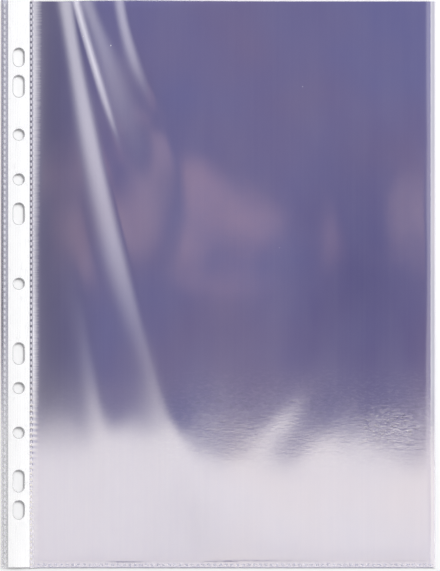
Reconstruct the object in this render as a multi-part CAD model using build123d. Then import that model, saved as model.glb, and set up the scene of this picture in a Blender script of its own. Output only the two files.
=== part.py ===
from build123d import *
import os

# A4 punched pocket: a clear film sleeve, open at the top, with a white punched strip welded into its left edge.
#
# The pocket lies flat. +X runs from the punched strip to the fold, +Y towards the open mouth and +Z up from the
# surface that it lies on. The origin is the middle of the pocket's outline, on that surface. One sheet of film is
# folded at the right, so it makes the back and the front, and both run on over the strip. The film bends beside
# the strip, along the inner seal, and its front lifts at the mouth from the bottom seal. Each bend line is where
# one panel of film ends and the next begins. All lengths are in millimetres.

# Outline and walls
page_width = 233.5
page_height = 305.5
film_wall = 0.12
strip_wall = 0.2
mouth_step = 1.2  # the front film ends this far below the back film

# Punched strip
edge_margin = 3.7  # bare film outside the strip
strip_width = 11.6

# Punching, measured up and down the strip from its middle
hole_width = 6.0
round_hole_offsets = (0.0, 56.0, 80.0)
inner_slot_offset = 37.5
inner_slot_length = 11.6
outer_slot_offset = 106.0
outer_slot_length = 11.8
end_slot_offset = 121.5
end_slot_length = 10.0

# Rows of weld spots that join the front film to the back film
weld_pitch = 3.05
weld_length = 2.0  # along the row
weld_width = 1.0  # across the row
weld_corner = 0.3
inner_weld_gap = 0.2  # strip to spot, and spot to the film's edge
bottom_weld_gap = 0.7  # bottom seal to spot
row_end_gap = 1.5  # end of the film to the first spot

# Bend lines
bend_gap = 0.4  # axis of the inner seal to the film on each side
seal_clearance = 0.03  # bottom seal to the film above it
parting_clearance = 0.05  # front film to the fold, which it leaves as the mouth opens

# Levels
back_top = film_wall
front_bottom = back_top + strip_wall
pocket_top = front_bottom + film_wall
middle_level = pocket_top / 2

# Places across the pocket
left_edge = -page_width / 2
right_edge = page_width / 2
strip_left = left_edge + edge_margin
strip_right = strip_left + strip_width
hole_line = (strip_left + strip_right) / 2
outer_weld_line = left_edge + edge_margin / 2
inner_weld_line = strip_right + inner_weld_gap + weld_width / 2
binding_right = inner_weld_line + weld_width / 2 + inner_weld_gap
bend_axis = binding_right + bend_gap
pocket_left = bend_axis + bend_gap
seal_radius = pocket_top / 2
fold_line = right_edge - seal_radius

# Places up the pocket
bottom_edge = -page_height / 2
top_edge = page_height / 2
mouth_edge = top_edge - mouth_step
bottom_seal_line = bottom_edge + seal_radius
panel_bottom = bottom_seal_line + seal_radius + seal_clearance
bottom_weld_line = bottom_edge + 2 * seal_radius + bottom_weld_gap + weld_width / 2


def slab(x_span, y_span, z_span):
    """A flat sheet between two values on each axis."""
    low = (x_span[0], y_span[0], z_span[0])
    size = [high - low for low, high in (x_span, y_span, z_span)]
    return Pos(*low) * Box(*size, align=(Align.MIN, Align.MIN, Align.MIN))


def punch(offset, length):
    """A cutter for one hole: round, or a slot along the strip where it is longer than it is wide."""
    outline = Circle(hole_width / 2)
    if length > hole_width:
        outline = SlotOverall(length, hole_width, rotation=90)
    return Pos(hole_line, offset, 0) * extrude(outline, amount=pocket_top, both=True)


def punches():
    """Every hole's cutter, each one repeated above and below the middle of the strip."""
    pattern = [(offset, hole_width) for offset in round_hole_offsets]
    pattern.append((inner_slot_offset, inner_slot_length))
    pattern.append((outer_slot_offset, outer_slot_length))
    pattern.append((end_slot_offset, end_slot_length))
    both_ways = {(side * offset, length) for offset, length in pattern for side in (1, -1)}
    return [punch(offset, length) for offset, length in sorted(both_ways)]


def punched_sheet(x_span, z_span):
    """A sheet of the binding edge, as tall as the pocket, with all the holes in it."""
    return slab(x_span, (bottom_edge, top_edge), z_span) - punches()


def weld_spot(along_x):
    """One fused spot that fills the gap between the films."""
    size = (weld_length, weld_width) if along_x else (weld_width, weld_length)
    outline = Rectangle(*size)
    outline = chamfer(outline.vertices(), weld_corner)
    return Pos(0, 0, back_top) * extrude(outline, amount=front_bottom - back_top)


def row_places(low, high):
    """Evenly spaced spot centres, with the row in the middle of the film that it crosses."""
    room = high - low - 2 * row_end_gap - weld_length
    count = int(room / weld_pitch) + 1
    first = (low + high) / 2 - (count - 1) * weld_pitch / 2
    return [first + i * weld_pitch for i in range(count)]


def upright_weld(x):
    """A row of spots up the pocket at one distance across it."""
    spot = weld_spot(along_x=False)
    return Compound([Pos(x, y, 0) * spot for y in row_places(bottom_edge, top_edge)])


def bottom_weld():
    """The row of spots that closes the pocket's bottom."""
    spot = weld_spot(along_x=True)
    return Compound([Pos(x, bottom_weld_line, 0) * spot for x in row_places(pocket_left, fold_line)])


def inner_seal():
    """The fused bead beside the strip that the pocket bends about."""
    profile = Pos(bend_axis, bottom_edge, middle_level) * Rot(X=-90) * Circle(seal_radius)
    return extrude(profile, amount=page_height, dir=(0, 1, 0))


def bottom_seal():
    """The fused bead along the bottom edge that the front film lifts from."""
    profile = Pos(pocket_left, bottom_seal_line, middle_level) * Rot(Y=90) * Circle(seal_radius)
    return extrude(profile, amount=fold_line - pocket_left, dir=(1, 0, 0))


def fold():
    """The half-round fold that turns the back film into the front film."""
    ring = Circle(seal_radius) - Circle(seal_radius - film_wall)
    half = ring & Pos(seal_radius, 0, 0) * Rectangle(2 * seal_radius, 4 * seal_radius)
    profile = Pos(fold_line, bottom_edge, middle_level) * Rot(X=90) * half
    return extrude(profile, amount=mouth_edge - bottom_edge, dir=(0, 1, 0))


def film_panel(top, right, z_span):
    """The back or the front of the pocket, from the inner seal to the fold."""
    return slab((pocket_left, right), (panel_bottom, top), z_span)


binding_film = (left_edge, binding_right)
back_level = (0, back_top)
front_level = (front_bottom, pocket_top)

nodes = {
    "punched_strip": punched_sheet((strip_left, strip_right), (back_top, front_bottom)),
    "back_binding_film": punched_sheet(binding_film, back_level),
    "front_binding_film": punched_sheet(binding_film, front_level),
    "outer_weld_spots": upright_weld(outer_weld_line),
    "inner_weld_spots": upright_weld(inner_weld_line),
    "inner_seal": inner_seal(),
    "back_film": film_panel(top_edge, fold_line, back_level),
    "fold_edge": fold(),
    "bottom_weld_spots": bottom_weld(),
    "bottom_seal": bottom_seal(),
    "front_film": film_panel(mouth_edge, fold_line - parting_clearance, front_level),
}

os.makedirs("parts", exist_ok=True)
for name, shape in nodes.items():
    export_step(shape, f"parts/{name}.step")
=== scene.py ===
import math
import bmesh
import bpy
from mathutils import Matrix, Vector, noise


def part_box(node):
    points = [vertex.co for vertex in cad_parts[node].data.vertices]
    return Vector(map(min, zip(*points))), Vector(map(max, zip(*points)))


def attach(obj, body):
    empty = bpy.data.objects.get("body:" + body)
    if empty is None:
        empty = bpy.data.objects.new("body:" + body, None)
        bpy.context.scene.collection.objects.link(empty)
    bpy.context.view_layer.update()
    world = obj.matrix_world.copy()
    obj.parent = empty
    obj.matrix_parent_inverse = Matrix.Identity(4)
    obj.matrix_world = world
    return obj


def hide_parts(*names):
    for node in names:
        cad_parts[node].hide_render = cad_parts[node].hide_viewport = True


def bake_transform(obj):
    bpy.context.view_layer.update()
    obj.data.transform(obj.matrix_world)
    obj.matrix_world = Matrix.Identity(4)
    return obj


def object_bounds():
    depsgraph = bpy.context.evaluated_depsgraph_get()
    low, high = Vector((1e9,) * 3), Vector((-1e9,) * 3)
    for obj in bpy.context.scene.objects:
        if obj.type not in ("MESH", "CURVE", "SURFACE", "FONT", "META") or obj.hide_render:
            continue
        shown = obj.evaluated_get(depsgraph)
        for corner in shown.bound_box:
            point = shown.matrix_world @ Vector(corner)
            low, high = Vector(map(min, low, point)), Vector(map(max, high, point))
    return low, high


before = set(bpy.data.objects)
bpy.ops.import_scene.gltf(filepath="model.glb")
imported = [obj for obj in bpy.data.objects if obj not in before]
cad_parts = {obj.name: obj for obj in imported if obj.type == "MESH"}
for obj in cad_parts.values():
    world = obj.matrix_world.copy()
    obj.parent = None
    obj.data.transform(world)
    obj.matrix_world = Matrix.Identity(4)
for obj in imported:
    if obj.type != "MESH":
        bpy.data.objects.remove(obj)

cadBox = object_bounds()
mm = 0.001
pageLeft, pageBottom = cadBox[0].x, cadBox[0].y
pageRight, pageTop = cadBox[1].x, cadBox[1].y


# Places on the page are written in mm from its left edge and from its bottom edge

def across(x):
    return pageLeft + x * mm


def upPage(y):
    return pageBottom + y * mm


def fromLeft(co):
    return (co.x - pageLeft) / mm


def fromBottom(co):
    return (co.y - pageBottom) / mm


page = {
    "width": (pageRight - pageLeft) / mm,
    "height": (pageTop - pageBottom) / mm,
    "film": 0.12,          # wall of the film
    "strip": 0.2,          # wall of the strip
    "backLevel": 0.06,     # middle of the back film
    "stripLevel": 0.22,    # middle of the strip
    "frontLevel": 0.38,    # middle of the front film
    "stripLeft": fromLeft(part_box("punched_strip")[0]),
    "stripRight": fromLeft(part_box("punched_strip")[1]),
    "bendLine": fromLeft((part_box("inner_seal")[0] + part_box("inner_seal")[1]) / 2),
    "panelLeft": 21.0,     # where the free panel takes over from the bend beside the strip
    "panelRight": 232.7,   # where the film turns into the fold
    "panelBottom": fromBottom(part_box("front_film")[0]),
    "mouth": fromBottom(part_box("front_film")[1]),
    "foldBand": 230.7,     # the doubled film beside the fold starts here
    "weldBand": 3.3,       # the fused film along the bottom ends here
}
print("frame loaded, page", round(page["width"], 1), "by", round(page["height"], 1), "mm")


# Small makers that every piece uses

def newPiece(name, bm, *materials, smoothAngle=40):
    bmesh.ops.recalc_face_normals(bm, faces=bm.faces[:])
    if bm.calc_volume(signed=True) < 0:
        bmesh.ops.reverse_faces(bm, faces=bm.faces[:])
    for face in bm.faces:
        face.smooth = True
    for edge in bm.edges:
        if len(edge.link_faces) == 2 and edge.calc_face_angle() > math.radians(smoothAngle):
            edge.smooth = False
    mesh = bpy.data.meshes.new(name)
    bm.to_mesh(mesh)
    bm.free()
    # each point keeps its place at rest, for the textures
    places = [0.0] * (3 * len(mesh.vertices))
    mesh.vertices.foreach_get("co", places)
    mesh.attributes.new("flatPlace", "FLOAT_VECTOR", "POINT").data.foreach_set("vector", places)
    for material in materials:
        mesh.materials.append(material)
    piece = bpy.data.objects.new(name, mesh)
    bpy.context.scene.collection.objects.link(piece)
    return piece


def thicken(bm, wall):
    # a sheet that lies flat gets its wall, half of it above its middle and half below
    bmesh.ops.translate(bm, verts=bm.verts[:], vec=(0, 0, -wall / 2 * mm))
    grown = bmesh.ops.extrude_face_region(bm, geom=bm.faces[:])
    upper = [part for part in grown["geom"] if isinstance(part, bmesh.types.BMVert)]
    bmesh.ops.translate(bm, verts=upper, vec=(0, 0, wall * mm))
    return [part for part in grown["geom"] if isinstance(part, bmesh.types.BMFace)]


def place(bm, where):
    for vert in bm.verts:      # moves each point from its flat place to its shaped one
        vert.co = where(vert.co)


# Node helpers

def feed(tree, node, sockets):
    for name, value in sockets.items():
        if isinstance(value, bpy.types.NodeSocket):
            tree.links.new(value, node.inputs[name])
        else:
            node.inputs[name].default_value = value


def addNode(tree, kind, sockets=None, **settings):
    node = tree.nodes.new(kind)
    for name, value in settings.items():
        setattr(node, name, value)
    feed(tree, node, sockets or {})
    return node


def flatPlace(tree):
    return addNode(tree, "ShaderNodeAttribute", attribute_name="flatPlace").outputs["Vector"]


def pagePlace(tree):
    # x and y on the page as two values
    return addNode(tree, "ShaderNodeSeparateXYZ", {0: flatPlace(tree)}).outputs[:2]


def mathNode(tree, operation, first, second=0.0):
    return addNode(tree, "ShaderNodeMath", {0: first, 1: second}, operation=operation).outputs[0]


def rangeNode(tree, value, low, high, toLow=0.0, toHigh=1.0):
    return addNode(tree, "ShaderNodeMapRange", {"Value": value, "From Min": low, "From Max": high,
                                                "To Min": toLow, "To Max": toHigh}).outputs[0]


def stretched(tree, coords, scale):
    return addNode(tree, "ShaderNodeMapping", {"Vector": coords, "Scale": scale}).outputs[0]


def noiseNode(tree, coords, size, stretch=(1.0, 1.0, 1.0), detail=2.0, roughness=0.5, distortion=0.0):
    sockets = {"Vector": stretched(tree, coords, stretch), "Scale": 1 / (size * mm), "Detail": detail,
               "Roughness": roughness, "Distortion": distortion}
    return addNode(tree, "ShaderNodeTexNoise", sockets).outputs[0]


def distanceTo(tree, coords, middle, stretch):
    offset = addNode(tree, "ShaderNodeVectorMath", {0: coords, 1: middle}, operation="SUBTRACT").outputs[0]
    away = addNode(tree, "ShaderNodeVectorMath", {0: stretched(tree, offset, stretch)}, operation="LENGTH")
    return away.outputs["Value"]


def mixColour(tree, factor, first, second):
    return addNode(tree, "ShaderNodeMix", {0: factor, 6: first, 7: second}, data_type="RGBA").outputs[2]


def bumpNode(tree, height, depth, strength=1.0):
    sockets = {"Height": height, "Strength": strength, "Distance": depth * mm}
    return addNode(tree, "ShaderNodeBump", sockets).outputs[0]


def newGroup(name, inputs, outputs):
    tree = bpy.data.node_groups.new(name, "ShaderNodeTree")
    for socketName, start in inputs.items():
        socket = tree.interface.new_socket(socketName, in_out="INPUT", socket_type="NodeSocketFloat")
        socket.default_value = start
    for socketName in outputs:
        tree.interface.new_socket(socketName, in_out="OUTPUT", socket_type="NodeSocketFloat")
    return tree, addNode(tree, "NodeGroupOutput")


def useGroup(tree, group, sockets=None):
    return addNode(tree, "ShaderNodeGroup", sockets, node_tree=group).outputs


def newMaterial(name):
    material = bpy.data.materials.new(name)
    material.use_nodes = True
    tree = material.node_tree
    return material, tree, tree.nodes["Principled BSDF"]


# Shared effects

wisps = {                              # fine ripples that come and go
    "noise": {"size": 1.1, "stretch": (0.38, 1.0, 1.0), "detail": 3.0, "roughness": 0.6, "distortion": 0.7},
    "calm": 0.04, "lively": 0.22,      # share of the full depth at the seam's side and at the fold's side
    "from": 80.0, "to": 110.0,         # where the one turns into the other
    "crackle": {                       # the liveliest patch, at full depth within the second radius
        "at": (across(208.0), upPage(75.0), 0), "stretch": (0.7, 1.0, 0.0),
        "radii": (19.0, 5.7), "depth": 0.60,
    },
}
filmTexture = {                        # sizes in mm, and the range of each noise that shows
    "Die Lines": {"noise": {"size": 1.6, "stretch": (1.0, 0.006, 1.0), "detail": 3.0, "roughness": 0.6},
                  "shows": (0.0, 1.0)},
    "Drift": {"noise": {"size": 90.0}, "shows": (0.35, 0.65)},
    "Haze": {"noise": {"size": 22.0, "stretch": (1.0, 0.35, 1.0), "detail": 4.0}, "shows": (0.3, 0.75)},
    "Ticks": {"noise": {"size": 0.8, "stretch": (0.12, 1.0, 1.0), "detail": 1.0}, "shows": (0.35, 0.65)},
}


def makeFilmGrain():
    tree, out = newGroup("filmGrain", {}, ["Ripple", *filmTexture])
    coords = flatPlace(tree)
    crackle = wisps["crackle"]
    away = distanceTo(tree, coords, crackle["at"], crackle["stretch"])
    patch = rangeNode(tree, away, crackle["radii"][0] * mm, crackle["radii"][1] * mm, 0.0, crackle["depth"])
    side = rangeNode(tree, pagePlace(tree)[0], across(wisps["from"]), across(wisps["to"]), wisps["calm"],
                     wisps["lively"])
    wavy = mathNode(tree, "SUBTRACT", noiseNode(tree, coords, **wisps["noise"]), 0.5)
    ripple = mathNode(tree, "MULTIPLY", wavy, mathNode(tree, "MAXIMUM", patch, side))
    tree.links.new(ripple, out.inputs["Ripple"])
    for name, texture in filmTexture.items():
        shown = rangeNode(tree, noiseNode(tree, coords, **texture["noise"]), *texture["shows"])
        tree.links.new(shown, out.inputs[name])
    return tree


dustLook = {                           # a few specks caught on the film
    "sockets": {"Spacing": 17.0, "Speck Size": 0.34},      # mm
    "bare": 0.55,                      # share of the places without a speck
    "above": (95.0, 100.0),            # there are none lower on the page
    "colour": (0.5, 0.5, 0.6, 1),
}


def makeDust():
    tree, out = newGroup("dust", dustLook["sockets"], ["Specks"])
    given = addNode(tree, "NodeGroupInput").outputs
    metres = mathNode(tree, "MULTIPLY", given["Spacing"], mm)
    upright = stretched(tree, flatPlace(tree), (1.0, 1.0, 0.02))   # a speck hardly changes with the height
    cells = addNode(tree, "ShaderNodeTexVoronoi", {"Vector": upright,
                                                   "Scale": mathNode(tree, "DIVIDE", 1.0, metres)})
    radius = mathNode(tree, "DIVIDE", given["Speck Size"], given["Spacing"])
    inside = mathNode(tree, "LESS_THAN", cells.outputs["Distance"], radius)
    tint = addNode(tree, "ShaderNodeSeparateColor", {"Color": cells.outputs["Color"]})
    chosen = mathNode(tree, "GREATER_THAN", tint.outputs[0], dustLook["bare"])
    tree.links.new(mathNode(tree, "MULTIPLY", inside, chosen), out.inputs["Specks"])
    return tree


filmGrain = makeFilmGrain()
dust = makeDust()


# Film of the pocket; a pair of places says where an effect starts and where it is full, in mm

weldRow = {                            # mm
    "pitch": 3.05, "ends": 5.0,        # from spot to spot, and left free at the two ends together
    "outer": {"line": 1.85, "size": (1.7, 1.0)},
    "inner": {"line": page["stripRight"] + 0.65, "size": (1.6, 1.0)},
    "bottom": {"line": 1.64, "size": (1.7, 1.0), "run": (17.5, 233.2)},
    "bevel": 0.28, "proud": 0.03,
}
bands = {                              # paler where the film is fused or doubled
    "seam": {"x": (20.2, 16.8), "share": 0.52, "leans": (150.0, 295.0), "lean": 1.7, "ticks": 0.35},
    "fold": {"x": (page["foldBand"] - 0.3, page["foldBand"] + 0.3), "share": 0.9},
    "weld": {"y": (page["weldBand"] + 0.4, page["weldBand"] - 0.2), "share": 0.06},
    "clear": (60.0, 100.0), "faint": 0.25,         # seam and fold are faint in the pale end
    "gaps": {"beat": (-0.3, -0.6), "reach": (0.6, 0.35)},      # dark, between the spots beside the strip
}


def filmEdges(tree, ticks):
    x, y = pagePlace(tree)
    seam, fold, weld, gap = (bands[name] for name in ("seam", "fold", "weld", "gaps"))
    lean = rangeNode(tree, y, *map(upPage, seam["leans"]), 0.0, seam["lean"] * mm)
    ragged = rangeNode(tree, ticks, 0.0, 1.0, -seam["ticks"] * mm, seam["ticks"] * mm)
    edge = mathNode(tree, "SUBTRACT", mathNode(tree, "SUBTRACT", x, lean), ragged)
    low = rangeNode(tree, y, *map(upPage, bands["clear"]), bands["faint"], 1.0)
    fused = rangeNode(tree, edge, *map(across, seam["x"]), 0.0, seam["share"])
    folded = rangeNode(tree, x, *map(across, fold["x"]), 0.0, fold["share"])
    welded = rangeNode(tree, y, *map(upPage, weld["y"]), 0.0, weld["share"])
    band = mathNode(tree, "MAXIMUM", mathNode(tree, "MULTIPLY", fused, low),
                    mathNode(tree, "MAXIMUM", mathNode(tree, "MULTIPLY", folded, low), welded))
    beat = mathNode(tree, "COSINE", mathNode(tree, "MULTIPLY", y, 2 * math.pi / (weldRow["pitch"] * mm)))
    fromRow = mathNode(tree, "ABSOLUTE", mathNode(tree, "SUBTRACT", x, across(weldRow["inner"]["line"])))
    gaps = mathNode(tree, "MULTIPLY", rangeNode(tree, beat, *gap["beat"]),
                    rangeNode(tree, fromRow, gap["reach"][0] * mm, gap["reach"][1] * mm))
    return band, gaps


violetFilm = {
    "cool": (0.107, 0.103, 0.297, 1),
    "warm": (0.133, 0.104, 0.263, 1),
    "deep": {                              # the darkest stretch, towards the fold
        "colour": (0.056, 0.048, 0.208, 1), "share": 0.9,
        "at": (across(194.0), upPage(152.0), 0), "stretch": (1.5, 0.8, 0.0), "reach": 74.0,
    },
    "lowPaintedShade": {                          # painted shade: dims the pale reflection low down on the strip's side
        "colour": (0.080, 0.076, 0.275, 1), "share": 0.9, "x": (125.0, 105.0), "y": (95.0, 70.0),
    },
    "shade": {                             # painted shade near the strip, darkening the film's tone there
        "colour": (0.081, 0.071, 0.184, 1), "share": 1.0, "x": (56.0, 24.0), "y": (60.0, 95.0),
    },
    "haze": {"colour": (0.25, 0.245, 0.39, 1), "share": 0.12, "lines": (0.35, 0.7), "lineShare": 0.035},
    "wisps": {                             # painted highlights and shade of the ripples close to the pale end, laid into the film's tone
        "light": (0.36, 0.35, 0.46, 1), "dark": (0.02, 0.02, 0.06, 1), "full": 0.2,
        "height": 80.0, "reach": (30.0, 6.0),
    },
    "fused": (0.66, 0.65, 0.75, 1),
    "gap": (0.16, 0.155, 0.20, 1),
    "markAlpha": 0.6,                      # cover of these two
    "roughness": (0.075, 0.105),
    "glossTint": (1.0, 0.97, 0.93, 1),
    "rippleDepth": 0.060,                  # mm
    "lineDepth": 0.010,                    # as a share of the ripples
    "faces": {                             # the film's outer faces carry the tone and the gloss
        "outerFilm": {"alpha": 0.85, "refraction": 1.65, "gloss": 1.0},
        "innerFilm": {"alpha": 0.22, "refraction": 1.45, "gloss": 0.3},
    },
}


def filmTone(tree, grain):
    x, y = pagePlace(tree)
    tone = mixColour(tree, grain["Drift"], violetFilm["cool"], violetFilm["warm"])
    deep = violetFilm["deep"]
    away = distanceTo(tree, flatPlace(tree), deep["at"], deep["stretch"])
    share = rangeNode(tree, away, deep["reach"] * mm, 0.0, 0.0, deep["share"])
    tone = mixColour(tree, share, tone, deep["colour"])
    # both of these lay painted shade over the film's tone
    for shade in (violetFilm["lowPaintedShade"], violetFilm["shade"]):
        sideways = rangeNode(tree, x, *map(across, shade["x"]), 0.0, shade["share"])
        share = mathNode(tree, "MULTIPLY", sideways, rangeNode(tree, y, *map(upPage, shade["y"])))
        tone = mixColour(tree, share, tone, shade["colour"])
    haze = violetFilm["haze"]
    lines = rangeNode(tree, grain["Die Lines"], *haze["lines"], 0.0, haze["lineShare"])
    share = mathNode(tree, "ADD", mathNode(tree, "MULTIPLY", grain["Haze"], haze["share"]), lines)
    tone = mixColour(tree, share, tone, haze["colour"])
    # the ripples' glints and shade are painted into the tone as lighter and darker flecks
    paintedRippleSheen = violetFilm["wisps"]
    height = mathNode(tree, "ABSOLUTE", mathNode(tree, "SUBTRACT", y, upPage(paintedRippleSheen["height"])))
    near = rangeNode(tree, height, paintedRippleSheen["reach"][0] * mm, paintedRippleSheen["reach"][1] * mm)
    ripple = mathNode(tree, "MULTIPLY", grain["Ripple"], near)
    tone = mixColour(tree, rangeNode(tree, ripple, 0.0, paintedRippleSheen["full"]), tone, paintedRippleSheen["light"])
    return mixColour(tree, rangeNode(tree, ripple, 0.0, -paintedRippleSheen["full"]), tone, paintedRippleSheen["dark"])


def makeViolet(name):
    material, tree, shader = newMaterial(name)
    face = violetFilm["faces"][name]
    grain = useGroup(tree, filmGrain)
    band, gaps = filmEdges(tree, grain["Ticks"])
    above = rangeNode(tree, pagePlace(tree)[1], *map(upPage, dustLook["above"]))
    specks = mathNode(tree, "MULTIPLY", useGroup(tree, dust, dustLook["sockets"])["Specks"], above)
    tone = mixColour(tree, band, filmTone(tree, grain), violetFilm["fused"])
    tone = mixColour(tree, gaps, tone, violetFilm["gap"])
    marked = mathNode(tree, "MULTIPLY", mathNode(tree, "MAXIMUM", band, gaps), violetFilm["markAlpha"])
    marked = mathNode(tree, "MAXIMUM", marked, face["alpha"])
    lines = mathNode(tree, "MULTIPLY", grain["Die Lines"], violetFilm["lineDepth"])
    relief = mathNode(tree, "ADD", grain["Ripple"], lines)
    feed(tree, shader, {
        "Base Color": mixColour(tree, specks, tone, dustLook["colour"]),
        "Alpha": mathNode(tree, "MAXIMUM", specks, marked),
        "Roughness": rangeNode(tree, grain["Haze"], 0.0, 1.0, *violetFilm["roughness"]),
        "Normal": bumpNode(tree, relief, violetFilm["rippleDepth"]),
        "IOR": face["refraction"],
        "Specular IOR Level": face["gloss"],
        "Specular Tint": violetFilm["glossTint"],
    })
    return material


edgeFilm = {
    "clear": (0.80, 0.80, 0.90, 1),
    "margin": (0.66, 0.65, 0.83, 1),   # the bare film outside the strip
    "ticked": (0.46, 0.45, 0.60, 1),
    "faint": (0.84, 0.84, 0.90, 1),    # the same low down, painted paler there as the pale reflection
    "bare": (0.1, -0.3),               # from the strip's edge outwards
    "paintedEdgeShade": (0.16, 0.155, 0.20, 1),     # painted shade: a darker line along the cut edge
    "cutWidth": (1.3, 0.78),
    "low": (70.0, 130.0),              # the painted edge shade is darkest half way up
    "high": (150.0, 290.0), "highShare": 0.45,
    "alpha": 0.06,
    "marginAlpha": 0.17,
    "cutAlpha": 0.40,
    "roughness": (0.2, 0.28),
    "rippleDepth": 0.01,
    "refraction": 1.5,
}


def makeEdgeFilm():
    material, tree, shader = newMaterial("edgeFilm")
    grain = useGroup(tree, filmGrain)
    x, y = pagePlace(tree)
    # painted shade along the cut edge, fading low down and towards the top
    paintedEdgeShade = rangeNode(tree, x, *map(across, edgeFilm["cutWidth"]))
    low = rangeNode(tree, y, *map(upPage, edgeFilm["low"]))
    high = rangeNode(tree, y, *map(upPage, edgeFilm["high"]), 1.0, edgeFilm["highShare"])
    paintedEdgeShade = mathNode(tree, "MULTIPLY", paintedEdgeShade, mathNode(tree, "MULTIPLY", low, high))
    bare = rangeNode(tree, x, *(across(page["stripLeft"] + past) for past in edgeFilm["bare"]))
    margin = mixColour(tree, grain["Ticks"], edgeFilm["ticked"], edgeFilm["margin"])
    # the margin is painted paler low down, standing in for the pale reflection
    margin = mixColour(tree, low, edgeFilm["faint"], margin)
    tone = mixColour(tree, bare, edgeFilm["clear"], margin)
    cover = rangeNode(tree, bare, 0.0, 1.0, edgeFilm["alpha"], edgeFilm["marginAlpha"])
    spare = mathNode(tree, "MULTIPLY", paintedEdgeShade, edgeFilm["cutAlpha"] - edgeFilm["marginAlpha"])
    feed(tree, shader, {
        "Base Color": mixColour(tree, paintedEdgeShade, tone, edgeFilm["paintedEdgeShade"]),
        "Alpha": mathNode(tree, "ADD", cover, spare),
        "Roughness": rangeNode(tree, grain["Haze"], 0.0, 1.0, *edgeFilm["roughness"]),
        "Normal": bumpNode(tree, grain["Ripple"], edgeFilm["rippleDepth"]),
        "IOR": edgeFilm["refraction"],
    })
    return material


# painted shade: a thin grey ring where the film's cut edge round each hole catches shade
rimLook = {
    "dark": (0.44, 0.44, 0.48, 1), "light": (0.56, 0.56, 0.60, 1),
    "alpha": (0.30, 0.45), "roughness": 0.35,
}


def makePaintedRimShade():
    material, tree, shader = newMaterial("paintedRimShade")
    haze = useGroup(tree, filmGrain)["Haze"]
    feed(tree, shader, {
        "Base Color": mixColour(tree, haze, rimLook["dark"], rimLook["light"]),
        "Alpha": rangeNode(tree, haze, 0.0, 1.0, *rimLook["alpha"]),
        "Roughness": rimLook["roughness"],
    })
    return material


fusedFilm = {
    "bright": (0.88, 0.87, 0.93, 1),       # along the strip
    "dull": (0.55, 0.54, 0.68, 1),         # along the bottom, between these two lines
    "dullFrom": page["bendLine"] + 0.5, "dullTo": page["foldBand"] + 1.0,
    "hazed": (0.70, 0.69, 0.78, 1), "hazeShare": 0.3,
    "alpha": (0.72, 0.86),
    "roughness": (0.35, 0.5),
    "refraction": 1.45,
}


def makeFused():
    material, tree, shader = newMaterial("fusedFilm")
    grain = useGroup(tree, filmGrain)
    x = pagePlace(tree)[0]
    inside = mathNode(tree, "MULTIPLY", mathNode(tree, "GREATER_THAN", x, across(fusedFilm["dullFrom"])),
                      mathNode(tree, "LESS_THAN", x, across(fusedFilm["dullTo"])))
    tone = mixColour(tree, inside, fusedFilm["bright"], fusedFilm["dull"])
    hazed = mathNode(tree, "MULTIPLY", grain["Haze"], fusedFilm["hazeShare"])
    feed(tree, shader, {
        "Base Color": mixColour(tree, hazed, tone, fusedFilm["hazed"]),
        "Alpha": rangeNode(tree, grain["Haze"], 0.0, 1.0, *fusedFilm["alpha"]),
        "Roughness": rangeNode(tree, grain["Drift"], 0.0, 1.0, *fusedFilm["roughness"]),
        "IOR": fusedFilm["refraction"],
    })
    return material


whiteStrip = {
    "mottle": {"size": 0.7, "detail": 3.0},
    "tones": ((0.93, 0.93, 0.94, 1), (0.96, 0.96, 0.96, 1)),
    "relief": 0.01, "reliefShare": 0.6,    # mm, and how much of it shows
    "roughness": (0.42, 0.55),
    "gloss": 0.25,
}


def makeWhiteStrip():
    material, tree, shader = newMaterial("whiteStrip")
    mottle = noiseNode(tree, flatPlace(tree), **whiteStrip["mottle"])
    haze = useGroup(tree, filmGrain)["Haze"]
    feed(tree, shader, {
        "Base Color": mixColour(tree, mottle, *whiteStrip["tones"]),
        "Roughness": rangeNode(tree, haze, 0.0, 1.0, *whiteStrip["roughness"]),
        "Normal": bumpNode(tree, mottle, whiteStrip["relief"], whiteStrip["reliefShare"]),
        "Specular IOR Level": whiteStrip["gloss"],
    })
    return material


outerFilm = makeViolet("outerFilm")
innerFilm = makeViolet("innerFilm")
clearEdge = makeEdgeFilm()
paintedRimShade = makePaintedRimShade()
fused = makeFused()
white = makeWhiteStrip()
print("materials made")


# Shape of the film: how far the front film stands above its flat level, in mm

crown = {
    "left": (0.2, 0.6),                # height at the seam's side, low down and at the mouth
    "right": 0.45, "pace": 1.6,        # height at the fold's side, and how early it is reached
    "seamReach": (1.6, 4.6), "foldReach": 1.3,
    "grows": (130.0, 290.0),           # heights between which the swell beside the seam grows
    "seamLine": 16.6, "foldLine": 230.9, "weldedTo": 2.7,      # the film lies flat outside these lines
    "foot": (0.20, 0.42), "steepAt": 69.0, "steepReach": 10.0,     # slopes above the bottom weld
    "least": 0.1,                      # the lift that counts for them at least
}
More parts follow.
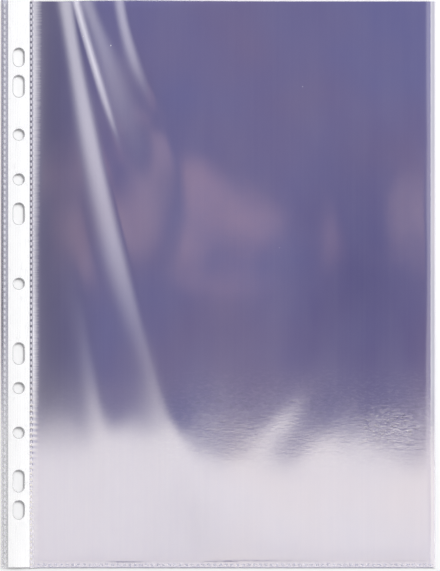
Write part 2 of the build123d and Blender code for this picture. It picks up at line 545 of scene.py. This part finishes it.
# flanks that face left, or right where the slope is negative; places and widths in mm
creases = [
    {   # the long soft streak
        "path": ((35.8, 297.0), (53.2, 208.4), (75.4, 122.4)),     # three points down the page
        "flank": (4.2, 12.0), "sharp": (3.4, 5.5),     # widths left and right of the path, top to bottom
        "slope": 0.174, "back": 40.0, "gap": 50.0,     # steepness; width and distance of the way down again
        "fade": (-70.0, 260.0),                        # heights between which the crease grows
    },
    {   # thin dark line beside the bright one
        "path": ((38.6, 301.9), (47.2, 267.5), (58.0, 233.1)), "flank": (0.8, 0.8), "sharp": (0.8, 0.8),
        "slope": -0.05, "back": 20.0, "gap": 30.0, "fade": (235.0, 278.0),
    },
    {   # narrow bright line
        "path": ((42.2, 297.1), (50.8, 267.5), (64.0, 226.0)), "flank": (2.2, 1.8), "sharp": (1.7, 1.5),
        "slope": 0.22, "back": 40.0, "gap": 50.0, "fade": (216.0, 276.0),
    },
    {   # broad pale stretch between the narrow lines
        "path": ((48.7, 297.0), (59.5, 267.5), (72.0, 232.0)), "flank": (5.0, 15.0), "sharp": (5.0, 20.0),
        "slope": 0.110, "back": 40.0, "gap": 52.0, "fade": (150.0, 262.0),
    },
    {   # rightmost line at the mouth
        "path": ((65.1, 297.0), (68.2, 283.6), (73.7, 267.5)), "flank": (4.2, 4.6), "sharp": (3.4, 5.0),
        "slope": 0.175, "back": 40.0, "gap": 50.0, "fade": (231.0, 284.0),
    },
    {   # faint low one
        "path": ((42.0, 142.3), (47.6, 106.3), (51.9, 79.4)), "flank": (7.0, 7.0), "sharp": (4.5, 4.5),
        "slope": 0.070, "back": 16.0, "gap": 26.0, "fade": (30.0, 105.0), "ends": (100.0, 185.0),
    },
]
swells = [                             # broad low hills: middle, radii and height in mm
    {"x": 26.0, "y": 112.0, "rx": 24.0, "ry": 36.0, "height": 0.42},
    {"x": 57.0, "y": 60.0, "rx": 11.0, "ry": 28.0, "height": 0.40},
    {"x": 90.0, "y": 62.0, "rx": 13.0, "ry": 34.0, "height": 0.80},
    {"x": 114.0, "y": 44.0, "rx": 24.0, "ry": 30.0, "height": 0.58},
    {"x": 152.0, "y": 190.0, "rx": 13.0, "ry": 26.0, "height": 0.18},
    {"x": 173.0, "y": 68.0, "rx": 12.0, "ry": 20.0, "height": 0.36},
    {"x": 222.0, "y": 44.0, "rx": 24.0, "ry": 28.0, "height": 0.28},
]
valley = {                             # a slanting dip: middle, direction and widths in mm
    "x": 151.0, "y": 79.0, "along": (-0.586, -0.81), "length": 25.0,
    "flank": 7.0, "back": 26.0, "gap": 32.0, "slope": 0.030,
}
slackness = {                          # how the film wanders between its creases, less at the seam's side
    "stretch": 1.6, "slice": 3.7,      # how much longer the waves are up the page, and the slice of the noise
    "waves": ({"size": 34.0, "height": 0.20, "calm": 1.0}, {"size": 12.0, "height": 0.032, "calm": 0.25}),
}


def easeBetween(value, low, high):
    t = min(max((value - low) / (high - low), 0.0), 1.0)
    return t * t * (3 - 2 * t)


def between(pair, share):
    return pair[0] + (pair[1] - pair[0]) * share


def quadratic(points, y):
    (x0, y0), (x1, y1), (x2, y2) = points
    first = (x1 - x0) / (y1 - y0)
    second = ((x2 - x1) / (y2 - y1) - first) / (y2 - y0)
    return x0 + (y - y0) * first + (y - y0) * (y - y1) * second


def flankPair(distance, flank, sharp, back, gap, slope):
    # height of a ridge whose left flank has the given slope, and whose right flank brings it down again
    near = flank if distance < 0 else sharp
    rise = near * math.erf(distance / near) + flank
    fall = 0.5 * (flank + sharp) * (1 + math.erf((distance - gap) / back))
    return 0.5 * math.sqrt(math.pi) * slope * (rise - fall)


def widthAt(crease, side, y):
    return between(crease[side], easeBetween(-y, -crease["path"][0][1], -crease["path"][2][1]))


def filmLift(x, y):
    grown = easeBetween(y, *crown["grows"])
    seamSide = 1 - math.exp(-max(x - crown["seamLine"], 0) / between(crown["seamReach"], grown))
    foldSide = 1 - math.exp(-max(crown["foldLine"] - x, 0) / crown["foldReach"])
    share = (x - crown["seamLine"]) / (crown["foldLine"] - crown["seamLine"])
    lift = between((between(crown["left"], grown), crown["right"]), min(share * crown["pace"], 1.0))
    for crease in creases:
        shown = easeBetween(y, *crease["fade"])
        if "ends" in crease:
            shown *= 1 - easeBetween(y, *crease["ends"])
        if shown > 0:
            distance = x - quadratic(crease["path"], y)
            lift += shown * flankPair(distance, widthAt(crease, "flank", y), widthAt(crease, "sharp", y),
                                      crease["back"], crease["gap"], crease["slope"])
    for swell in swells:
        shareX = (x - swell["x"]) / swell["rx"]
        shareY = (y - swell["y"]) / swell["ry"]
        lift += swell["height"] * math.exp(-shareX ** 2 - shareY ** 2)
    alongX, alongY = valley["along"]
    offX, offY = x - valley["x"], y - valley["y"]
    down = (offX * alongX + offY * alongY) / valley["length"]
    sideways = -offX * alongY + offY * alongX
    lift -= math.exp(-down * down) * flankPair(sideways, valley["flank"], valley["flank"], valley["back"],
                                               valley["gap"], valley["slope"])
    lively = easeBetween(x, wisps["from"], wisps["to"])
    for wave in slackness["waves"]:
        at = Vector((x / wave["size"], y / (slackness["stretch"] * wave["size"]), slackness["slice"]))
        lift += wave["height"] * noise.noise(at) * between((wave["calm"], 1), lively)
    foot = between(crown["foot"], math.exp(-((x - crown["steepAt"]) / crown["steepReach"]) ** 2))
    bottomSide = 1 - math.exp(-max(y - crown["weldedTo"], 0) * foot / max(lift, crown["least"]))
    return lift * seamSide * foldSide * bottomSide


# The binding edge bows up a little between its welds

bow = {"height": 0.85, "from": 0.3, "to": 16.9}


def edgeLift(x):
    t = (x - bow["from"]) / (bow["to"] - bow["from"])
    return bow["height"] * max(4 * t * (1 - t), 0)


# Punched sheets of the binding edge

punching = {
    "line": page["stripLeft"] + (page["stripRight"] - page["stripLeft"]) / 2,
    "width": 6.0,
    # how far each hole lies above and below the middle, and its length
    "holes": ((0.0, 6.0), (56.0, 6.0), (80.0, 6.0), (37.5, 11.6), (106.0, 11.8), (121.5, 10.0)),
    "sides": 48,
    "rim": 0.28,           # the film's cut edge shows as a thin grey line of painted shade
    "columns": 12,         # parts side by side, so that a sheet can bow
    "rows": 40,
    "merge": 0.002,        # points closer than this become one
    "stripEnds": (0.35, 0.2),      # how far the strip stops short at the bottom and at the top
}


def holePlaces():
    places = {(side * offset, length) for offset, length in punching["holes"] for side in (1, -1)}
    return sorted(places)


def slotPoint(local, stretch, scale):
    # a point on a round hole's edge or a slot's, moved nearer to the hole's middle
    shift = math.copysign(stretch, local.y)
    return Vector((local.x * scale, (local.y - shift) * scale + shift, 0))


def cutAt(bm, point, normal):
    bmesh.ops.bisect_plane(bm, geom=bm.verts[:] + bm.edges[:] + bm.faces[:], plane_co=point, plane_no=normal)


def punchedSheet(name, xSpan, ySpan, level, wall, *materials, rim=0.0):
    bm = bmesh.new()
    holes = []
    radius = punching["width"] / 2
    middle = page["height"] / 2
    places = holePlaces()
    parts = [ySpan[0]] + [middle + (a[0] + b[0]) / 2 for a, b in zip(places, places[1:])] + [ySpan[1]]
    turn = Matrix.Rotation(math.pi / punching["sides"], 4, "Z")
    for (offset, length), low, high in zip(places, parts, parts[1:]):  # each hole has its own part
        corners = [bm.verts.new((across(x), upPage(y), 0)) for x, y in
                   ((xSpan[0], low), (xSpan[1], low), (xSpan[1], high), (xSpan[0], high))]
        border = [bm.edges.new((corners[i - 1], corners[i])) for i in range(4)]
        centre = Vector((across(punching["line"]), upPage(middle + offset), 0))
        made = bmesh.ops.create_circle(bm, segments=punching["sides"], radius=(radius + rim) * mm,
                                       matrix=turn)
        stretch = (length - punching["width"]) / 2 * mm
        for vert in made["verts"]:
            vert.co.y += math.copysign(stretch, vert.co.y)
            vert.co += centre
        ring = {edge for vert in made["verts"] for edge in vert.link_edges}
        bmesh.ops.triangle_fill(bm, edges=border + list(ring), use_beauty=True)
        holes.append((centre, stretch, made["verts"]))
    for centre, stretch, verts in holes if rim else ():    # a narrow rim of its own round each hole
        loop = {edge for vert in verts for edge in vert.link_edges if edge.is_boundary}
        grown = bmesh.ops.extrude_edge_only(bm, edges=list(loop))
        for part in grown["geom"]:
            if isinstance(part, bmesh.types.BMVert):
                part.co = centre + slotPoint(part.co - centre, stretch, radius / (radius + rim))
            elif isinstance(part, bmesh.types.BMFace):
                part.material_index = 1
    for i in range(1, punching["columns"]):
        cutAt(bm, (across(xSpan[0] + (xSpan[1] - xSpan[0]) * i / punching["columns"]), 0, 0), (1, 0, 0))
    for i in range(1, punching["rows"]):
        cutAt(bm, (0, upPage(ySpan[0] + (ySpan[1] - ySpan[0]) * i / punching["rows"]), 0), (0, 1, 0))
    bmesh.ops.remove_doubles(bm, verts=bm.verts[:], dist=punching["merge"] * mm)
    bmesh.ops.dissolve_degenerate(bm, edges=bm.edges[:], dist=punching["merge"] * mm)
    place(bm, lambda co: Vector((co.x, co.y, (level + edgeLift(fromLeft(co))) * mm)))
    thicken(bm, wall)
    return newPiece(name, bm, *materials)


stripRun = (punching["stripEnds"][0], page["height"] - punching["stripEnds"][1])
strip = punchedSheet("punchedStrip", (page["stripLeft"], page["stripRight"]), stripRun, page["stripLevel"],
                     page["strip"], white)
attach(strip, "binding_edge")
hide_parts("punched_strip")
edgeSpan = (0.0, page["stripRight"])
edgeRun = (0.0, page["height"])
frontEdge = punchedSheet("frontBindingFilm", edgeSpan, edgeRun, page["frontLevel"], page["film"],
                         clearEdge, paintedRimShade, rim=punching["rim"])
backEdge = punchedSheet("backBindingFilm", edgeSpan, edgeRun, page["backLevel"], page["film"], clearEdge)
punchedArea = page["stripRight"] * page["height"]
for offset, length in holePlaces():
    punchedArea -= math.pi * punching["width"] ** 2 / 4 + punching["width"] * (length - punching["width"])
for sheet, node, lies in ((frontEdge, "front_binding_film", "punchedStrip"),
                          (backEdge, "back_binding_film", "floor")):
    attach(sheet, "binding_edge")
    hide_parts(node)
print("binding edge made")


# Film panels

def filmGrid(name, xSpan, ySpan, steps, level, lift, upper, lower, spread=None):
    bm = bmesh.new()
    bmesh.ops.create_grid(bm, x_segments=steps[0], y_segments=steps[1], size=0.5)
    spreadX, spreadY = spread or (lambda t, y: t, lambda t: t)

    def shaped(co):
        y = ySpan[0] + (ySpan[1] - ySpan[0]) * spreadY(co.y + 0.5)
        x = xSpan[0] + (xSpan[1] - xSpan[0]) * spreadX(co.x + 0.5, y)
        return Vector((across(x), upPage(y), (level + lift(x, y)) * mm))

    place(bm, shaped)
    raised = thicken(bm, page["film"])
    for face in bm.faces:
        face.material_index = 1
    for face in raised:
        face.material_index = 0
    return newPiece(name, bm, upper, lower)


closest = 0.4              # the closest rows or columns stand at this share of the mean distance


def closerAtLow(t):
    return t * (closest + (1 - closest) * t)


def closerAtFold(t, y):
    return 1 - closerAtLow(1 - t)


crowded = {                # columns that lean with the creases
    "share": 0.6, "before": 0.12,      # of all columns: those among the creases, and those left of them
    "width": 42.0, "ahead": 9.0,       # mm: their breadth, and how far left of the first crease they start
    "clear": 8.0,                      # mm left to the middle line at least
}


def closerAtCreases(t, y):
    wide = halfWay - page["panelLeft"]
    low = min(quadratic(creases[0]["path"], y) - crowded["ahead"],
              halfWay - crowded["width"] - crowded["clear"])
    low = (low - page["panelLeft"]) / wide
    high = low + crowded["width"] / wide
    after = crowded["before"] + crowded["share"]
    if t < crowded["before"]:
        return low * t / crowded["before"]
    if t < after:
        return low + (high - low) * (t - crowded["before"]) / crowded["share"]
    return high + (1 - high) * (t - after) / (1 - after)


pucker = {"height": 0.018, "fades": 0.9}   # mm, and how fast it fades towards the strip


def hingeLift(x, y):
    # the film leaves the welds in small puckers, which die out before the free panel
    past = (x - page["bendLine"]) / (page["panelLeft"] - page["bendLine"])
    fade = max(1 - past, 0) ** 2 if past > 0 else max(1 + pucker["fades"] * past, 0)
    wave = pucker["height"] * math.cos(2 * math.pi * y / weldRow["pitch"]) * fade
    return filmLift(x, y) + edgeLift(x) + wave


def flatLift(x, y):
    return edgeLift(x)


def noLift(x, y):
    return 0.0


halfWay = (page["panelLeft"] + page["panelRight"]) / 2
gridSteps = {              # faces across and up each sheet
    "hingeFront": (14, 600), "hingeBack": (14, 60), "hingeLip": (14, 1),
    "back": (60, 80), "backLip": (60, 1), "left": (230, 180), "right": (96, 150),
}
hingeSpan = (page["stripRight"], page["panelLeft"])
panelSpan = (page["panelLeft"], page["panelRight"])
hingeRun = (0.0, page["mouth"])
panelRun = (page["panelBottom"], page["mouth"])
lipRun = (page["mouth"], page["height"])
hingeFront = filmGrid("hingeFilmFront", hingeSpan, hingeRun, gridSteps["hingeFront"], page["frontLevel"],
                      hingeLift, outerFilm, innerFilm)
hingeBack = filmGrid("hingeFilmBack", hingeSpan, hingeRun, gridSteps["hingeBack"], page["backLevel"],
                     flatLift, innerFilm, outerFilm)
hingeLip = filmGrid("hingeLip", hingeSpan, lipRun, gridSteps["hingeLip"], page["backLevel"],
                    flatLift, clearEdge, clearEdge)
for sheet in (hingeFront, hingeBack, hingeLip):
    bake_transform(sheet)
backPanel = filmGrid("backPanel", panelSpan, panelRun, gridSteps["back"], page["backLevel"],
                     noLift, innerFilm, outerFilm)
backLip = filmGrid("backLip", panelSpan, lipRun, gridSteps["backLip"], page["backLevel"],
                   noLift, clearEdge, clearEdge)
for sheet in (backPanel, backLip):
    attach(sheet, "pocket_back")
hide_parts("back_film")
panelLeft = filmGrid("frontPanelLeft", (page["panelLeft"], halfWay), panelRun, gridSteps["left"],
                     page["frontLevel"], filmLift, outerFilm, innerFilm, (closerAtCreases, closerAtLow))
panelRight = filmGrid("frontPanelRight", (halfWay, page["panelRight"]), panelRun, gridSteps["right"],
                      page["frontLevel"], filmLift, outerFilm, innerFilm, (closerAtFold, closerAtLow))


def liftBlend(piece):
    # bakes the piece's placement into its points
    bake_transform(piece)


liftBlend(panelLeft)
liftBlend(panelRight)
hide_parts("front_film")
print("film panels made")


# Fold at the right and the fused lines

foldSteps = 12             # faces round the turn of the film


def foldEdge():
    bm = bmesh.new()
    line = across(page["panelRight"])
    low = bm.verts.new((line, upPage(0.0), page["backLevel"] * mm))
    high = bm.verts.new((line, upPage(page["mouth"]), page["backLevel"] * mm))
    edge = bm.edges.new((low, high))
    middle = (page["backLevel"] + page["frontLevel"]) / 2 * mm
    bmesh.ops.spin(bm, geom=[low, high, edge], cent=(line, 0, middle), axis=(0, 1, 0), angle=-math.pi,
                   steps=foldSteps)
    reach = (page["width"] - page["panelRight"] - page["film"] / 2) * mm / (middle - page["backLevel"] * mm)
    place(bm, lambda co: Vector((line + (co.x - line) * reach, co.y, co.z)))
    bmesh.ops.recalc_face_normals(bm, faces=bm.faces[:])
    bmesh.ops.solidify(bm, geom=bm.faces[:], thickness=page["film"] * mm)
    return newPiece("foldEdge", bm, fused)


fold = foldEdge()
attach(fold, "pocket_back")
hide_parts("fold_edge")
print("fold made")


seals = {                  # mm
    "level": 0.25, "sides": 16,
    "inner": {"size": (0.9, 0.5), "short": 0.3},                    # width, height; it stops short of the top
    "bottom": {"size": (0.5, 0.46), "line": 0.25, "before": 3.0},   # it starts before the free panel
}


def sealBead(name, start, end, size):
    bm = bmesh.new()
    run = Vector(end) - Vector(start)
    made = bmesh.ops.create_circle(bm, segments=seals["sides"], radius=0.5, cap_ends=True)
    side = run.normalized().cross(Vector((0, 0, 1)))
    for vert in made["verts"]:
        vert.co = Vector(start) + side * vert.co.x * size[0] * mm + Vector((0, 0, vert.co.y * size[1] * mm))
    grown = bmesh.ops.extrude_face_region(bm, geom=bm.faces[:])
    bmesh.ops.translate(bm, vec=run, verts=[v for v in grown["geom"] if isinstance(v, bmesh.types.BMVert)])
    return newPiece(name, bm, fused)


sealLevel = seals["level"] * mm
bendX = across(page["bendLine"])
sealY = upPage(seals["bottom"]["line"])
innerSeal = sealBead("innerSeal", (bendX, pageBottom, sealLevel),
                     (bendX, pageTop - seals["inner"]["short"] * mm, sealLevel), seals["inner"]["size"])
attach(innerSeal, "binding_edge")
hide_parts("inner_seal")
bottomSeal = sealBead("bottomSeal", (across(page["panelLeft"] - seals["bottom"]["before"]), sealY, sealLevel),
                      (across(page["panelRight"]), sealY, sealLevel), seals["bottom"]["size"])
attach(bottomSeal, "pocket_back")
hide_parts("bottom_seal")


# Rows of weld spots

def weldRowPlaces(low, high):
    count = int((high - low - weldRow["ends"]) / weldRow["pitch"]) + 1
    first = (low + high) / 2 - (count - 1) * weldRow["pitch"] / 2
    return [first + i * weldRow["pitch"] for i in range(count)]


def weldSpots(name, centres, alongX, size, lift):
    bm = bmesh.new()
    length, width = size
    top = page["frontLevel"] + page["film"] / 2 + weldRow["proud"]
    low = page["backLevel"]
    for x, y in centres:
        scale = (length, width, top - low) if alongX else (width, length, top - low)
        middle = Vector((across(x), upPage(y), ((top + low) / 2 + lift(x)) * mm))
        bmesh.ops.create_cube(bm, size=1, matrix=Matrix.LocRotScale(middle, None, Vector(scale) * mm))
    upright = [e for e in bm.edges if abs(e.verts[0].co.z - e.verts[1].co.z) > (top - low) / 2 * mm]
    bmesh.ops.bevel(bm, geom=upright, offset=weldRow["bevel"] * mm, affect="EDGES", segments=2, profile=0.5,
                    material=-1)
    return newPiece(name, bm, fused)


outer, inner, bottom = (weldRow[name] for name in ("outer", "inner", "bottom"))
upPlaces = weldRowPlaces(0.0, page["height"])
outerSpots = weldSpots("outerWeldSpots", [(outer["line"], y) for y in upPlaces], False, outer["size"],
                       edgeLift)
innerSpots = weldSpots("innerWeldSpots", [(inner["line"], y) for y in upPlaces], False, inner["size"],
                       edgeLift)
bottomSpots = weldSpots("bottomWeldSpots", [(x, bottom["line"]) for x in weldRowPlaces(*bottom["run"])], True,
                        bottom["size"], lambda x: 0.0)
for spots, body, node in ((outerSpots, "binding_edge", "outer_weld_spots"),
                          (innerSpots, "binding_edge", "inner_weld_spots"),
                          (bottomSpots, "pocket_back", "bottom_weld_spots")):
    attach(spots, body)
    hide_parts(node)
print("welds made")


# Floor, lights and camera

floorLook = {"size": 6.0, "drop": 0.2, "colour": (0.93, 0.93, 0.94, 1), "roughness": 0.9, "gloss": 0.0}


def makeFloor():
    bm = bmesh.new()
    bmesh.ops.create_grid(bm, x_segments=1, y_segments=1, size=floorLook["size"] / 2,
                          matrix=Matrix.Translation((0, 0, -floorLook["drop"] * mm)))
    material, tree, shader = newMaterial("paleFloor")
    feed(tree, shader, {"Base Color": floorLook["colour"], "Roughness": floorLook["roughness"],
                        "Specular IOR Level": floorLook["gloss"]})
    floor = newPiece("floor", bm, material)


studio = {
    "world": 0.44,
    "key": {"at": (1.2, 1.36, 1.68), "aim": (0.0, 0.0, 0.0), "size": (1.1, 1.1), "light": 15.0},
    "cardHeight": 1.0,
    # what the gloss reflects: edges and the widths of their soft borders in metres, and radiance
    "cards": {
        "lowCard": {"x": (-1.70, 1.20), "y": (-0.62, -0.163), "soft": (0.10, 0.045), "light": 5.4,
                    "colour": (1, 0.97, 0.86)},
        "skirtCard": {"x": (-0.48, 0.48), "y": (-0.30, -0.11), "soft": (0.05, 0.10), "light": 0.5,
                      "colour": (1, 0.97, 0.86)},
        "leftCard": {"x": (-1.05, -0.345), "y": (-0.163, 0.50), "soft": (0.36, 0.045), "light": 3.8,
                     "colour": (0.96, 0.965, 1)},
        "farCard": {"x": (-1.70, -0.60), "y": (-0.163, 0.50), "soft": (0.12, 0.045), "light": 2.0,
                    "colour": (0.96, 0.965, 1)},
        "rightCard": {"x": (0.34, 1.10), "y": (-0.163, 0.45), "soft": (0.12, 0.045), "light": 1.4,
                      "colour": (1, 1, 1)},
        "warmCard": {"x": (-0.017, 0.102), "y": (0.018, 0.072), "soft": (0.05, 0.034), "turn": 13.0,
                     "light": 1.45, "colour": (1, 0.58, 0.43)},
        "warmMiddleCard": {"x": (-0.165, -0.065), "y": (0.038, 0.082), "soft": (0.045, 0.03), "turn": 8.0,
                           "light": 1.15, "colour": (1, 0.66, 0.55)},
        "warmLeftCard": {"x": (-0.24, -0.15), "y": (0.098, 0.130), "soft": (0.04, 0.04), "light": 0.6,
                         "colour": (1, 0.6, 0.5)},
        "warmSideCard": {"x": (0.203, 0.27), "y": (0.03, 0.118), "soft": (0.03, 0.05), "light": 1.0,
                         "colour": (1, 0.68, 0.5)},
    },
    "cardStep": 0.002,     # no two cards lie in one plane, or only one of them would show
}


def addLight(name, at, aim, size, radiance, colour=(1, 1, 1)):
    light = bpy.data.lights.new(name, "AREA")
    light.shape = "RECTANGLE"
    light.size, light.size_y = size
    light.color = colour
    light.energy = radiance * math.pi * size[0] * size[1]
    lamp = bpy.data.objects.new(name, light)
    bpy.context.scene.collection.objects.link(lamp)
    lamp.location = at
    lamp.rotation_euler = (Vector(aim) - Vector(at)).to_track_quat("-Z", "Y").to_euler()
    lamp.visible_camera = False
    return lamp


def makeCard(name, card, height):
    middle = [(card[axis][0] + card[axis][1]) / 2 for axis in "xy"]
    size = [card[axis][1] - card[axis][0] + soft for axis, soft in zip("xy", card["soft"])]
    lamp = addLight(name, (*middle, height), (*middle, 0), size, card["light"], card["colour"])
    lamp.rotation_euler.z += math.radians(card.get("turn", 0.0))
    lamp.visible_diffuse = False       # a card only shows in the gloss
    lamp.data.use_nodes = True         # its light fades out over the border
    tree = lamp.data.node_tree
    spot = addNode(tree, "ShaderNodeNewGeometry").outputs["Parametric"]
    onCard = addNode(tree, "ShaderNodeSeparateXYZ", {0: spot})
    shares = []
    for i in range(2):
        fromMiddle = mathNode(tree, "ABSOLUTE", mathNode(tree, "SUBTRACT", onCard.outputs[i], 0.5))
        border = addNode(tree, "ShaderNodeMapRange", {"Value": fromMiddle, "From Min": 0.5,
                                                      "From Max": 0.5 - card["soft"][i] / size[i]},
                         interpolation_type="SMOOTHSTEP")
        shares.append(border.outputs[0])
    tree.links.new(mathNode(tree, "MULTIPLY", *shares), tree.nodes["Emission"].inputs["Strength"])


def makeLights():
    key = studio["key"]
    lamp = addLight("keyLight", key["at"], key["aim"], key["size"], key["light"])
    lamp.visible_glossy = False        # its glare would hide the film from one side
    for i, (name, card) in enumerate(studio["cards"].items()):
        makeCard(name, card, studio["cardHeight"] + i * studio["cardStep"])
    world = bpy.data.worlds.new("studio")
    bpy.context.scene.world = world
    world.use_nodes = True
    world.node_tree.nodes["Background"].inputs["Color"].default_value = (1, 1, 1, 1)
    world.node_tree.nodes["Background"].inputs["Strength"].default_value = studio["world"]


photo = {
    "frame": (440, 571),       # pixels
    "pixel": 0.5375,           # mm of the page
    "leftEdge": 1.4, "bottomEdge": 567.7,   # where the page's edges stand, in pixels
    "height": 1.0,             # metres from the camera to the page
    "sensor": 36.0,            # mm
}


def makeCamera():
    wide, high = photo["frame"]
    centreX = across((wide / 2 - photo["leftEdge"]) * photo["pixel"])
    centreY = upPage((photo["bottomEdge"] - high / 2) * photo["pixel"])
    lens = bpy.data.cameras.new("camera")
    lens.sensor_width = photo["sensor"]
    lens.lens = lens.sensor_width * photo["height"] / (high * photo["pixel"] * mm)
    camera = bpy.data.objects.new("camera", lens)
    bpy.context.scene.collection.objects.link(camera)
    camera.location = (centreX, centreY, photo["height"])
    bpy.context.scene.camera = camera


makeFloor()
makeLights()
makeCamera()
bpy.context.scene.view_settings.view_transform = "Standard"
print("stage set")
